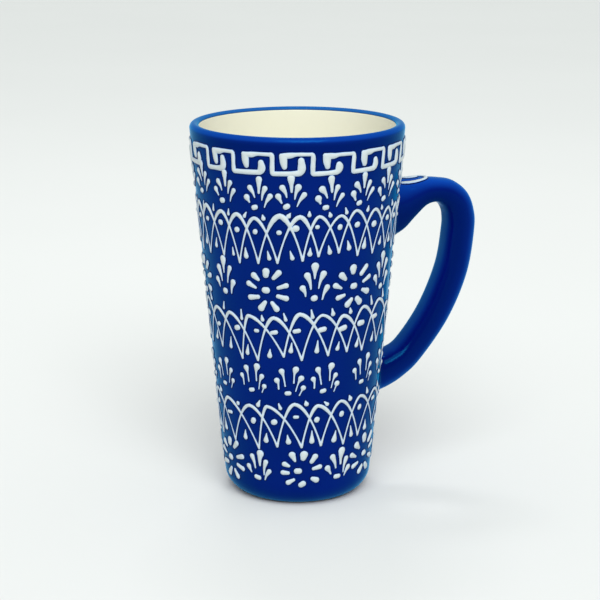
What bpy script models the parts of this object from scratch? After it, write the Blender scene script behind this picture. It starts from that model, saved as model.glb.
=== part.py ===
"""Tall tapered mug of blue-glazed stoneware with raised white slip, built piece by piece.

Units are metres and +Z is up. The origin is the middle of the flat foot, on the axis of the
cup, and the handle stands out along +X. Pieces that touch on the real mug keep GAP between them.
"""

import math

import bpy
import bmesh
from mathutils import Vector
from mathutils.bvhtree import BVHTree

MM = 0.001

# Driving dimensions of the cup
HEIGHT = 152.5 * MM
LIP_RADIUS = 43.0 * MM
SIDE_SLOPE = 0.0907
WALL = 4.0 * MM
FLOOR = 5.5 * MM
BASE_CORNER = 9.0 * MM
CAVITY_CORNER = 7.0 * MM

# Coats and joints
GLAZE = 0.4 * MM
GAP = 0.3 * MM
CLAY_INSET = GLAZE + GAP
JOINT_SLIP = 1.0 * MM
GLAZE_FOOT_ANGLE = -75.0
CLAY_FOOT_ANGLE = -80.0
FOOT_EDGE = 0.8 * MM
BLUE_LIP_ANGLE = 150.0
LIP_CREST_ANGLE = 70.0
LINING_LIP_ANGLE = 160.0
UPPER_JOINT = (90.0 * MM, 135.0 * MM)
LOWER_JOINT = (25.0 * MM, 70.0 * MM)
TRIM_REACH = 10.0 * MM

# Raised slip
BEAD_HEIGHT = 0.8 * MM
KEY_BEAD = 0.9 * MM
ARCH_BEAD = 0.5 * MM
LOOP_BEAD = 0.6 * MM
OVERLAY = 0.12 * MM
BEAD_END = 0.55
RIDGE = 0.5
KEY_STROKES = 16
KEY_START = -8.0
ARCH_FOOT = 0.93
HANDLE_CLEAR = 16.0
ARCH_CURVE = 1.75
ARCH_STEPS = 6

# Fineness of the round shapes
SEGMENTS = 48
ARC_STEPS = 3
SECTION_POINTS = 12
SECTION_SQUARENESS = 2.8
RINGS_PER_SPAN = 2
SHARP_ANGLE = 40.0

SLOPE_ANGLE = math.degrees(math.atan(SIDE_SLOPE))
SLANT = math.cos(math.radians(SLOPE_ANGLE))
FRONT = -108.0

# The handle's outer and inner faces in the XZ plane, and its half width along Y, in mm, from
# the end buried in the wall at the top to the one buried in the wall at the bottom.
HANDLE_SECTIONS = (
    (36.0, 125.5, 36.0, 99.0, 9.6),
    (44.0, 126.5, 43.7, 105.2, 8.6),
    (49.5, 126.9, 48.9, 110.6, 8.0),
    (54.8, 126.8, 54.1, 115.4, 7.5),
    (61.0, 126.3, 58.7, 116.6, 7.2),
    (67.2, 124.9, 61.6, 115.2, 7.2),
    (73.0, 120.3, 63.2, 113.0, 7.2),
    (76.1, 113.5, 64.0, 110.0, 7.2),
    (76.8, 104.5, 63.9, 104.0, 7.2),
    (73.8, 85.5, 61.4, 89.2, 7.2),
    (65.6, 66.5, 54.2, 72.0, 7.2),
    (53.3, 49.9, 44.8, 58.6, 7.4),
    (45.2, 43.1, 38.8, 54.6, 7.9),
    (31.0, 37.0, 26.5, 51.0, 9.0),
)

# One stroke of the key band: degrees round the cup from where it starts, and height in mm.
KEY_STROKE = (
    (2.0, 142.0),
    (0.0, 145.4),
    (8.0, 146.1),
    (14.4, 145.8),
    (15.8, 142.4),
    (17.2, 139.0),
    (25.0, 138.6),
    (32.0, 139.2),
    (30.4, 142.8),
)

# The curl on top of the handle, beside the cup: x and y in mm.
LOOP_STROKE = (
    (47.2, -4.3),
    (51.5, -4.4),
    (55.6, -3.2),
    (57.2, -0.4),
    (55.8, 2.6),
    (52.0, 3.9),
    (49.0, 2.9),
    (50.8, 0.6),
)

# Arcades: name, number of arches round the cup, height of the tips and of the crowns in mm, and
# whether a handle root stands in the way.
ARCADES = (
    ("slip_arcade_upper", 28, 104.6, 122.6, True),
    ("slip_arcade_middle", 24, 64.6, 82.2, False),
    ("slip_arcade_lower", 20, 26.8, 44.2, True),
)


def material(name, colour, roughness):
    """A glossy or matt ceramic colour."""
    made = bpy.data.materials.new(name)
    made.use_nodes = True
    shader = made.node_tree.nodes["Principled BSDF"]
    shader.inputs["Base Color"].default_value = (*colour, 1.0)
    shader.inputs["Roughness"].default_value = roughness
    shader.inputs["Metallic"].default_value = 0.0
    return made


def add_object(name, mesh, finish):
    made = bpy.data.objects.new(name, mesh)
    mesh.materials.append(finish)
    bpy.context.scene.collection.objects.link(made)
    return made


def finish_mesh(name, shape):
    """Close the bmesh into a mesh with its faces pointing out and its curves shaded smooth."""
    bmesh.ops.recalc_face_normals(shape, faces=shape.faces)
    mesh = bpy.data.meshes.new(name)
    shape.to_mesh(mesh)
    shape.free()
    mesh.shade_smooth()
    mesh.set_sharp_from_angle(angle=math.radians(SHARP_ANGLE))
    return mesh


def as_cutter(made):
    made.hide_render = True
    made.display_type = "WIRE"
    return made


def boolean(target, other, operation):
    step = target.modifiers.new(other.name, "BOOLEAN")
    step.operation = operation
    step.object = other


def side_radius(height, inset=0.0):
    """Radius of the cup's slanting side at a height, moved into the wall by inset."""
    lip_centre = HEIGHT - WALL / 2
    return LIP_RADIUS - WALL / 2 + (WALL / 2 - inset) / SLANT + SIDE_SLOPE * (height - lip_centre)


def arc(centre, radius, start, end):
    """Points on an arc from one angle to another, in degrees."""
    points = []
    for step in range(ARC_STEPS + 1):
        angle = math.radians(start + (end - start) * step / ARC_STEPS)
        points.append((centre[0] + radius * math.cos(angle), centre[1] + radius * math.sin(angle)))
    return points


def lip_arc(inset, start, end):
    centre = (LIP_RADIUS - WALL / 2, HEIGHT - WALL / 2)
    return arc(centre, WALL / 2 - inset, start, end)


def base_arc(inset, start, end):
    centre = (side_radius(BASE_CORNER, BASE_CORNER), BASE_CORNER)
    return arc(centre, BASE_CORNER - inset, start, end)


def cavity_arc(inset, start, end):
    height = FLOOR + CAVITY_CORNER
    centre = (side_radius(height, WALL + CAVITY_CORNER), height)
    return arc(centre, CAVITY_CORNER + inset, start, end)


def turned(name, profile, finish):
    """A profile turned round the Z axis. It runs down the outer side, then back up inside."""
    mesh = bpy.data.meshes.new(name)
    points = [(radius, 0.0, height) for radius, height in profile]
    edges = [(index, index + 1) for index in range(len(points) - 1)]
    if profile[0][0] > 0.0:
        edges.append((len(points) - 1, 0))
    mesh.from_pydata(points, edges, [])
    made = add_object(name, mesh, finish)
    screw = made.modifiers.new("turned", "SCREW")
    screw.steps = SEGMENTS
    screw.render_steps = SEGMENTS
    screw.use_merge_vertices = True
    screw.merge_threshold = 0.00001
    screw.use_smooth_shade = True
    return made


def clay_profile():
    """From the middle of the cavity's floor up the inside, over the lip and down to the foot."""
    middle_angle = 90.0 - SLOPE_ANGLE
    foot = base_arc(CLAY_INSET, -SLOPE_ANGLE, CLAY_FOOT_ANGLE)
    foot_radius = side_radius(BASE_CORNER, BASE_CORNER) + FOOT_EDGE
    inside = cavity_arc(CLAY_INSET, -90.0, -SLOPE_ANGLE)
    lip = lip_arc(CLAY_INSET, 180.0 - SLOPE_ANGLE, middle_angle)
    lip += lip_arc(CLAY_INSET, middle_angle, -SLOPE_ANGLE)[1:]
    floor = [(0.0, FLOOR - CLAY_INSET)]
    return floor + inside + lip + foot + [(foot_radius, 0.0), (0.0, 0.0)]


def blue_profile():
    """The outer coat: over the lip, down the side and round the base, then back inside it."""
    outer = lip_arc(0.0, BLUE_LIP_ANGLE, LIP_CREST_ANGLE)
    outer += lip_arc(0.0, LIP_CREST_ANGLE, -SLOPE_ANGLE)[1:]
    outer += base_arc(0.0, -SLOPE_ANGLE, GLAZE_FOOT_ANGLE)
    inner = base_arc(GLAZE, GLAZE_FOOT_ANGLE, -SLOPE_ANGLE)
    inner += lip_arc(GLAZE, -SLOPE_ANGLE, LIP_CREST_ANGLE)
    inner += lip_arc(GLAZE, LIP_CREST_ANGLE, BLUE_LIP_ANGLE)[1:]
    return outer + inner


def lining_profile():
    """The coat inside the cavity, whose outer side is the one that faces the clay."""
    visible = [(0.0, FLOOR)] + cavity_arc(0.0, -90.0, -SLOPE_ANGLE)
    visible += lip_arc(0.0, 180.0 - SLOPE_ANGLE, LINING_LIP_ANGLE)
    hidden = lip_arc(GLAZE, LINING_LIP_ANGLE, 180.0 - SLOPE_ANGLE)
    hidden += cavity_arc(GLAZE, -SLOPE_ANGLE, -90.0) + [(0.0, FLOOR - GLAZE)]
    return visible + hidden


def cone_profile(inset):
    """A solid that fills the cup and reaches past both ends, to trim the handle against."""
    top = HEIGHT + TRIM_REACH
    bottom = -TRIM_REACH
    return [(0.0, top), (side_radius(top, inset), top), (side_radius(bottom, inset), bottom), (0.0, bottom)]


def between(points, span, step, steps):
    """Catmull-Rom point in one span of a list of equal-length tuples."""
    last = len(points) - 1
    before, start, end, after = (points[min(max(span + k, 0), last)] for k in (-1, 0, 1, 2))
    t = step / steps
    weights = (
        (-t + 2 * t**2 - t**3) / 2,
        (2 - 5 * t**2 + 3 * t**3) / 2,
        (t + 4 * t**2 - 3 * t**3) / 2,
        (t**3 - t**2) / 2,
    )
    rows = zip(before, start, end, after)
    return tuple(sum(weight * value for weight, value in zip(weights, row)) for row in rows)


def smoothed(points, steps):
    """A smooth curve through the points, with a number of steps in each span."""
    spans = len(points) - 1
    curve = [between(points, span, step, steps) for span in range(spans) for step in range(steps)]
    return curve + [tuple(points[-1])]


def skin(shape, rings):
    """Faces between closed rings of vertices, and a cap at each end."""
    for ring, following in zip(rings, rings[1:]):
        for index, corner in enumerate(ring):
            beside = (index + 1) % len(ring)
            shape.faces.new((corner, ring[beside], following[beside], following[index]))
    shape.faces.new(rings[0])
    shape.faces.new(reversed(rings[-1]))


def signed_power(value, power):
    return math.copysign(abs(value) ** power, value)


def handle_ring(section, inset):
    """A rounded-rectangle section between the outer and the inner face, moved in by inset."""
    outer = Vector((section[0], 0.0, section[1])) * MM
    inner = Vector((section[2], 0.0, section[3])) * MM
    middle = (outer + inner) / 2
    half = (outer - inner) / 2
    half *= 1 - inset / half.length
    across = Vector((0.0, section[4] * MM - inset, 0.0))
    points = []
    for index in range(SECTION_POINTS):
        angle = 2 * math.pi * index / SECTION_POINTS
        out = signed_power(math.cos(angle), 2 / SECTION_SQUARENESS)
        side = signed_power(math.sin(angle), 2 / SECTION_SQUARENESS)
        points.append(middle + half * out + across * side)
    return points


def handle_loft(name, inset, finish):
    """The bowed handle, from inside the wall at the top to inside the wall at the bottom."""
    shape = bmesh.new()
    rings = []
    for section in smoothed(HANDLE_SECTIONS, RINGS_PER_SPAN):
        rings.append([shape.verts.new(point) for point in handle_ring(section, inset)])
    skin(shape, rings)
    return add_object(name, finish_mesh(name, shape), finish)


def joint_slip(name, low, high, coat, finish):
    """The layer of slip that a handle root is stuck on with, between the cup and the root."""
    made = turned(name, slip_ring_profile(low, high), finish)
    boolean(made, coat, "INTERSECT")
    return made


def slip_ring_profile(low, high):
    """A sleeve just outside the clay, between two heights."""
    inner = CLAY_INSET - GAP
    outer = inner - JOINT_SLIP
    return [
        (side_radius(high, outer), high),
        (side_radius(low, outer), low),
        (side_radius(low, inner), low),
        (side_radius(high, inner), high),
    ]


def on_side(angle, height, lift):
    """A point on the cup's side at an angle from the front, in degrees, and a height."""
    turn = math.radians(FRONT + angle)
    radius = side_radius(height, -lift)
    return Vector((radius * math.cos(turn), radius * math.sin(turn), height))


def side_normal(angle):
    turn = math.radians(FRONT + angle)
    return Vector((math.cos(turn), math.sin(turn), -SIDE_SLOPE)).normalized()


def bead(shape, path, normals, half_width, ridge):
    """A flat-bottomed rib of slip along a path, narrowed at its two ends.

    The ridge is the width of its flat top, as a share of half_width; without one it is pointed.
    """
    rings = []
    last = len(path) - 1
    for index, (point, normal) in enumerate(zip(path, normals)):
        along = path[min(index + 1, last)] - path[max(index - 1, 0)]
        across = along.cross(normal).normalized()
        scale = BEAD_END if index in (0, last) else 1.0
        wide = across * half_width * scale
        high = normal * BEAD_HEIGHT * scale
        tops = [point + high + wide * side * ridge for side in ((-1, 1) if ridge else (0,))]
        corners = [point - wide, *tops, point + wide]
        rings.append([shape.verts.new(corner) for corner in corners])
    skin(shape, rings)


def side_bead(shape, curve, half_width, ridge, lift):
    """A rib along a list of angles in degrees and heights in mm, on the cup's side."""
    path = [on_side(angle, height * MM, lift) for angle, height in curve]
    normals = [side_normal(angle) for angle, _ in curve]
    bead(shape, path, normals, half_width, ridge)


def key_stroke(index, finish):
    """One interlocking hook of the key band under the lip."""
    start = KEY_START + index * 360 / KEY_STROKES
    curve = [(start + angle, height) for angle, height in smoothed(KEY_STROKE, 2)]
    shape = bmesh.new()
    side_bead(shape, curve, KEY_BEAD, RIDGE, GAP)
    name = f"slip_key_{index + 1:02d}"
    return add_object(name, finish_mesh(name, shape), finish)


def arch_curve(middle, pitch, tip, crown):
    """A pointed arch two pitches wide, from one tip over the crown to the other."""
    curve = []
    for step in range(ARCH_STEPS + 1):
        across = -1 + 2 * step / ARCH_STEPS
        rise = 1 - abs(across) ** ARCH_CURVE
        curve.append((middle + across * ARCH_FOOT * pitch, tip + (crown - tip) * rise))
    return curve


def meets_handle(angle, pitch):
    """Whether an arch two pitches wide reaches a handle root, which stands at -FRONT degrees."""
    away = abs((angle + FRONT + 180) % 360 - 180)
    return away < HANDLE_CLEAR + pitch


def arches(name, first, arcade_shape, lift, finish):
    """Every second arch of an arcade, so that none of them touches the next."""
    count, tip, crown, broken = arcade_shape
    pitch = 360 / count
    shape = bmesh.new()
    for index in range(first, count, 2):
        if not (broken and meets_handle(index * pitch, pitch)):
            side_bead(shape, arch_curve(index * pitch, pitch, tip, crown), ARCH_BEAD, 0.0, lift)
    return add_object(name, finish_mesh(name, shape), finish)


def arcade(name, arcade_shape, finish):
    """The ring of interlaced arches: the odd ones are trailed over the even ones they cross."""
    even = arches(name, 0, arcade_shape, GAP, finish)
    odd = arches(name + "_odd_arches", 1, arcade_shape, GAP + OVERLAY, finish)
    boolean(even, as_cutter(odd), "UNION")
    return even


def handle_loop(coat, finish):
    """The curl of slip on top of the handle, laid on its curved upper face."""
    tree = BVHTree.FromPolygons(
        [vertex.co for vertex in coat.data.vertices],
        [face.vertices for face in coat.data.polygons],
    )
    path = []
    normals = []
    for x, y in smoothed(LOOP_STROKE, 2):
        spot, normal, _, _ = tree.ray_cast(Vector((x * MM, y * MM, HEIGHT)), Vector((0, 0, -1)))
        path.append(spot + normal * GAP)
        normals.append(normal)
    shape = bmesh.new()
    bead(shape, path, normals, LOOP_BEAD, RIDGE)
    name = "slip_handle_curl"
    return add_object(name, finish_mesh(name, shape), finish)


def build_cup(clay, blue, cream, hole):
    turned("clay_cup", clay_profile(), clay)
    coat = turned("glaze_coat_cup", blue_profile(), blue)
    boolean(coat, hole, "DIFFERENCE")
    turned("glaze_lining", lining_profile(), cream)


def build_handle(clay, blue, coat_shape):
    """The clay handle, the two layers of slip under its roots, and its coat of glaze."""
    stop = as_cutter(turned("cup_trim", cone_profile(CLAY_INSET - 2 * GAP - JOINT_SLIP), clay))
    handle = handle_loft("clay_handle", CLAY_INSET, clay)
    boolean(handle, stop, "DIFFERENCE")
    joint_slip("joint_slip_upper", *UPPER_JOINT, coat_shape, clay)
    joint_slip("joint_slip_lower", *LOWER_JOINT, coat_shape, clay)
    coat = handle_loft("glaze_coat_handle", 0.0, blue)
    boolean(coat, as_cutter(handle_loft("handle_core", GLAZE, clay)), "DIFFERENCE")
    boolean(coat, stop, "DIFFERENCE")
    return coat


def build_slip(white, coat):
    for index in range(KEY_STROKES):
        key_stroke(index, white)
    for name, *arcade_shape in ARCADES:
        arcade(name, arcade_shape, white)
    handle_loop(coat, white)


def main():
    for leftover in list(bpy.data.objects):
        bpy.data.objects.remove(leftover)
    clay = material("fired clay", (0.72, 0.62, 0.48), 0.85)
    blue = material("cobalt glaze", (0.004, 0.016, 0.18), 0.12)
    cream = material("cream glaze", (0.84, 0.81, 0.66), 0.15)
    white = material("white slip", (0.80, 0.79, 0.68), 0.25)
    coat_shape = as_cutter(handle_loft("handle_outline", 0.0, blue))
    hole = as_cutter(handle_loft("handle_clearance", -GAP, blue))
    build_cup(clay, blue, cream, hole)
    coat = build_handle(clay, blue, coat_shape)
    build_slip(white, coat)


main()
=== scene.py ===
import math
import random

import bpy
import numpy as np
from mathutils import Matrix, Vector, noise
from mathutils.bvhtree import BVHTree


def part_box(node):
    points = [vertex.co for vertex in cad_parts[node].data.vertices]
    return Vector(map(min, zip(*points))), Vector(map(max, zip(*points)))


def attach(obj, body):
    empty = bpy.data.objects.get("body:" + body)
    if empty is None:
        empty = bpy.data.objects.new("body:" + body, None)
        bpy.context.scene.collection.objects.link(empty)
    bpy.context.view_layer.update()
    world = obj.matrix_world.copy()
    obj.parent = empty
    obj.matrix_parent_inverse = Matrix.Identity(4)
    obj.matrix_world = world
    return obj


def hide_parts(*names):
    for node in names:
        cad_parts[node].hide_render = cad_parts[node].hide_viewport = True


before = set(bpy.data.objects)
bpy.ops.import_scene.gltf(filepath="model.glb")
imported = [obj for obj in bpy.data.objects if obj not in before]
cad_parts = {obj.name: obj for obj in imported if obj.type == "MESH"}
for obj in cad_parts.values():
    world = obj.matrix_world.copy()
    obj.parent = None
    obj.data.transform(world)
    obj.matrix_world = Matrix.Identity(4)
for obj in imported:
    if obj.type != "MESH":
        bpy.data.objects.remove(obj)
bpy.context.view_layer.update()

MM = 0.001

# The cup, in metres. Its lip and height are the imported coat's, the rest repeats the CAD design.
COAT_LOW, COAT_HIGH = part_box("glaze_coat_cup")
LIP_RADIUS = COAT_HIGH[0]
HEIGHT = COAT_HIGH[2]
SIDE_SLOPE = 0.0907
WALL = 4.0 * MM
FLOOR = 5.5 * MM
BASE_CORNER = 9.0 * MM
CAVITY_CORNER = 7.0 * MM
GLAZE = 0.4 * MM
GLAZE_FOOT_ANGLE = -75.0
BLUE_LIP_ANGLE = 152.0
LINING_LIP_ANGLE = 158.0
SLOPE_ANGLE = math.degrees(math.atan(SIDE_SLOPE))
SLANT = math.cos(math.radians(SLOPE_ANGLE))

# Angles round the cup are in degrees from the side that faces the camera, growing to the right.
CAMERA_SIDE = -108.0
HANDLE_ANGLE = 108.0
SEGMENTS = 256

# The handle's outer and inner faces in the XZ plane and its half width along Y, in mm.
HANDLE_SECTIONS = (
    (36.0, 125.5, 36.0, 102.0, 9.6),
    (44.0, 126.5, 43.7, 105.6, 8.6),
    (49.5, 126.9, 48.9, 110.6, 8.0),
    (54.8, 126.8, 54.1, 115.4, 7.5),
    (61.0, 126.3, 58.7, 116.6, 7.2),
    (67.2, 124.9, 61.6, 115.2, 7.2),
    (73.0, 120.3, 63.2, 113.0, 7.2),
    (76.1, 113.5, 64.0, 110.0, 7.2),
    (76.8, 104.5, 63.9, 104.0, 7.2),
    (73.8, 85.5, 61.4, 89.2, 7.2),
    (65.6, 66.5, 54.2, 72.0, 7.2),
    (53.3, 49.9, 44.8, 58.6, 7.4),
    (45.3, 43.0, 38.8, 54.6, 7.9),
    (38.2, 39.2, 32.7, 52.4, 8.4),
    (31.0, 37.0, 26.5, 51.0, 9.0),
)
HANDLE_RINGS = 14
HANDLE_POINTS = 56
INNER_SQUARENESS = 3.0
OUTER_SQUARENESS = 2.35
FILLET = 2.4 * MM

# What each root covers of the side: from and to a height in mm, and degrees to either hand.
HANDLE_ROOTS = ((96.5, 129.5, 17.5), (34.0, 59.0, 21.0))

# The glaze's surface wanders in and out a little, as the thrower's hand left it.
RIPPLE = 0.06 * MM

# Raised slip is worked out on a grid of CELL. Round each mark the glaze climbs over a width of
# SKIRT. A mark is as high as DOME_HEIGHT where its half width is DOME_WIDTH, and it turns white
# over a width of WHITENING that starts EDGE_MARGIN outside its edge.
CELL = 0.23 * MM
TOUCH_STEP = 0.14 * MM
SKIRT = 0.38 * MM
SINK = 0.25 * MM
EDGE_LIFT = 0.02 * MM
CLIMB = 0.12 * MM
DOME_HEIGHT = 0.66 * MM
DOME_WIDTH = 1.1 * MM
DOME_POWER = 0.6
DOME_ROUNDNESS = 0.55
WIDEST_DOME = 1.15
THINNEST_LINE = 0.12
HAND_WANDER = 0.12
EDGE_MARGIN = 0.06 * MM
WHITENING = 0.36 * MM


# ---------------------------------------------------------------- shapes of the cup


def side_radius(height, inset=0.0):
    """Radius of the cup's slanting side at a height, moved into the wall by inset."""
    lip_centre = HEIGHT - WALL / 2
    return LIP_RADIUS - WALL / 2 + (WALL / 2 - inset) / SLANT + SIDE_SLOPE * (height - lip_centre)


def arc(centre, radius, start, end, steps):
    turns = np.radians(np.linspace(start, end, steps + 1))
    return [(centre[0] + radius * math.cos(turn), centre[1] + radius * math.sin(turn)) for turn in turns]


def lip_arc(inset, start, end, steps=20):
    return arc((LIP_RADIUS - WALL / 2, HEIGHT - WALL / 2), WALL / 2 - inset, start, end, steps)


def base_arc(inset, start, end, steps=20):
    centre = (side_radius(BASE_CORNER, BASE_CORNER), BASE_CORNER)
    return arc(centre, BASE_CORNER - inset, start, end, steps)


def cavity_arc(inset, start, end, steps=16):
    height = FLOOR + CAVITY_CORNER
    return arc((side_radius(height, WALL + CAVITY_CORNER), height), CAVITY_CORNER + inset, start, end, steps)


def straight(start, end, steps):
    """Points between two others, without either of them."""
    share = [step / steps for step in range(1, steps)]
    return [(start[0] + (end[0] - start[0]) * t, start[1] + (end[1] - start[1]) * t) for t in share]


def joined(first, second, steps):
    return first + straight(first[-1], second[0], steps) + second


def new_mesh(name, points, faces, material):
    mesh = bpy.data.meshes.new(name)
    mesh.from_pydata([tuple(point) for point in points], [], faces)
    mesh.materials.append(material)
    mesh.update()
    mesh.shade_smooth()
    made = bpy.data.objects.new(name, mesh)
    bpy.context.scene.collection.objects.link(made)
    return made


def ripple(turn, height):
    """How far the surface stands out at a turn round the axis, in radians, and a height."""
    waves = np.sin(3 * turn + height / (9 * MM)) + np.sin(5 * turn - height / (14 * MM) + 2.0)
    return RIPPLE * (waves + np.sin(2 * turn + height / (21 * MM) + 4.0)) / 3


def turned(name, profile, closed, material):
    """A profile turned round Z. It runs down the outer side and back up the inner one.

    An open profile starts and ends on the axis.
    """
    rows = [row for row in profile if row[0] > 0.0]
    points = []
    for radius, height in rows:
        for turn in np.arange(SEGMENTS) * 2 * math.pi / SEGMENTS:
            here = radius + ripple(turn, height)
            points.append((here * math.cos(turn), here * math.sin(turn), height))
    last = len(rows) - 1
    faces = []
    for row in range(last + 1 if closed else last):
        below = (row + 1) % (last + 1)
        for column in range(SEGMENTS):
            beside = (column + 1) % SEGMENTS
            faces.append(
                (
                    row * SEGMENTS + column,
                    below * SEGMENTS + column,
                    below * SEGMENTS + beside,
                    row * SEGMENTS + beside,
                )
            )
    if not closed:
        for row, axis_height in ((0, profile[0][1]), (last, profile[-1][1])):
            points.append((0.0, 0.0, axis_height))
            for column in range(SEGMENTS):
                rim = (row * SEGMENTS + column, row * SEGMENTS + (column + 1) % SEGMENTS)
                faces.append((*(rim[::-1] if row else rim), len(points) - 1))
    return new_mesh(name, points, faces, material)


def cup_coat(material):
    """The cobalt coat: over the lip, down the side, round the base, and back inside it."""
    outer_lip = lip_arc(0.0, BLUE_LIP_ANGLE, -SLOPE_ANGLE, 32)
    outer = joined(outer_lip, base_arc(0.0, -SLOPE_ANGLE, GLAZE_FOOT_ANGLE), 70)
    inner_base = base_arc(GLAZE, GLAZE_FOOT_ANGLE, -SLOPE_ANGLE, 8)
    inner = joined(inner_base, lip_arc(GLAZE, -SLOPE_ANGLE, BLUE_LIP_ANGLE, 12), 12)
    return turned("cup_glaze", outer + inner, True, material)


def lining(material):
    """The cream coat of the cavity, its outer side against the clay."""
    lip = lip_arc(0.0, 180.0 - SLOPE_ANGLE, LINING_LIP_ANGLE, 6)
    visible = joined([(0.0, FLOOR)] + cavity_arc(0.0, -90.0, -SLOPE_ANGLE), lip, 50)
    hidden_lip = lip_arc(GLAZE, LINING_LIP_ANGLE, 180.0 - SLOPE_ANGLE, 3)
    hidden = joined(hidden_lip, cavity_arc(GLAZE, -SLOPE_ANGLE, -90.0, 6), 10)
    profile = visible + hidden + [(0.0, FLOOR - GLAZE)]
    return turned("cup_lining", profile, False, material)


def smoothed(points, steps):
    """Catmull-Rom curve through equal-length tuples, with a number of steps in each span."""
    rows = np.array([points[0], *points, points[-1]], float)
    curve = []
    for span in range(len(points) - 1):
        before, start, end, after = rows[span : span + 4]
        for t in np.arange(steps) / steps:
            curve.append(
                (
                    before * (-t + 2 * t**2 - t**3)
                    + start * (2 - 5 * t**2 + 3 * t**3)
                    + end * (t + 4 * t**2 - 3 * t**3)
                    + after * (t**3 - t**2)
                )
                / 2
            )
    return np.array(curve + [rows[-1]])


def fillet_push(point):
    """How far a point of the handle near the cup stands out, so that the root runs into the side."""
    away = math.hypot(point[0], point[1]) - side_radius(point[2])
    if away >= FILLET:
        return 0.0
    near = FILLET - max(away, 0.0)
    return FILLET - math.sqrt(FILLET**2 - near**2)


def handle_ring(section):
    """One section of the handle, rounder on its outer face than on its inner one."""
    outer = np.array((section[0], 0.0, section[1])) * MM
    inner = np.array((section[2], 0.0, section[3])) * MM
    middle = (outer + inner) / 2
    half = (outer - inner) / 2
    across = np.array((0.0, section[4] * MM, 0.0))
    points = []
    for turn in np.arange(HANDLE_POINTS) * 2 * math.pi / HANDLE_POINTS:
        squareness = OUTER_SQUARENESS if math.cos(turn) > 0 else INNER_SQUARENESS
        out = math.copysign(abs(math.cos(turn)) ** (2 / squareness), math.cos(turn))
        side = math.copysign(abs(math.sin(turn)) ** (2 / squareness), math.sin(turn))
        point = middle + half * out + across * side
        point += (point - middle) / np.linalg.norm(point - middle) * fillet_push(point)
        points.append(point)
    return points


def ring_faces(rings, width):
    faces = []
    for row in range(rings - 1):
        for column in range(width):
            beside = (column + 1) % width
            faces.append(
                (
                    row * width + column,
                    (row + 1) * width + column,
                    (row + 1) * width + beside,
                    row * width + beside,
                )
            )
    faces.append(tuple(range(width)))
    faces.append(tuple((rings - 1) * width + column for column in range(width))[::-1])
    return faces


def thin_glaze_and_painted_highlight(out):
    """Where the handle's outer face, and a little of its inner one, turns lighter blue: partly glaze running
    thin, partly painted highlight and reflection.
    """
    return np.clip((out - 0.25) / 0.6, 0.0, 1.0) + 0.45 * np.clip((-0.8 - out) / 0.2, 0.0, 1.0)


def thick_glaze_and_painted_shade(out):
    """Where the handle's flanks turn darker: partly glaze lying thick, partly painted shade."""
    return 0.95 * np.clip(1.4 - abs(out + 0.3) / 0.42, 0.0, 1.0)


def handle_coat(material):
    """The bowed handle, with both ends just inside the coat of the cup."""
    rings = []
    for section in smoothed(HANDLE_SECTIONS, HANDLE_RINGS):
        ring = handle_ring(section)
        if max(math.hypot(point[0], point[1]) - side_radius(point[2]) for point in ring) > -GLAZE:
            rings.append(ring)
    points = [point for ring in rings for point in ring]
    for point in points:
        sunk = side_radius(point[2], GLAZE * 0.8)
        reach = math.hypot(point[0], point[1])
        if reach < sunk:
            point[:2] *= sunk / reach
    made = new_mesh("handle_glaze", points, ring_faces(len(rings), HANDLE_POINTS), material)
    # Painted light on the handle, by the angle round its section: lighter outer and inner faces as painted
    # highlight, darker flanks as painted shade.
    out = np.cos(np.arange(len(points)) * 2 * math.pi / HANDLE_POINTS)
    for layer, values in (("broken_and_highlight", thin_glaze_and_painted_highlight(out)), ("pooled_and_shade", thick_glaze_and_painted_shade(out))):
        made.data.attributes.new(layer, "FLOAT", "POINT").data.foreach_set("value", values.astype(np.float32))
    return made


# ---------------------------------------------------------------- raised slip


def blurred(grid, closed):
    """Each value mixed with its neighbours, so that marks which meet flow together."""
    if closed:
        grid = (np.roll(grid, 1, 1) + 2 * grid + np.roll(grid, -1, 1)) / 4
    else:
        padded = np.pad(grid, ((0, 0), (1, 1)), "edge")
        grid = (padded[:, :-2] + 2 * grid + padded[:, 2:]) / 4
    padded = np.pad(grid, ((1, 1), (0, 0)), "edge")
    return (padded[:-2] + 2 * grid + padded[2:]) / 4


def without_pinches(squares):
    """Squares that meet only at a corner get a third one beside them."""
    for _ in range(4):
        here, right = squares[:-1], np.roll(squares, -1, 1)[:-1]
        above, beyond = squares[1:], np.roll(squares, -1, 1)[1:]
        squares[:-1] |= right & above & ~here & ~beyond
        squares[1:] |= here & beyond & ~right & ~above
    return squares


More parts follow.
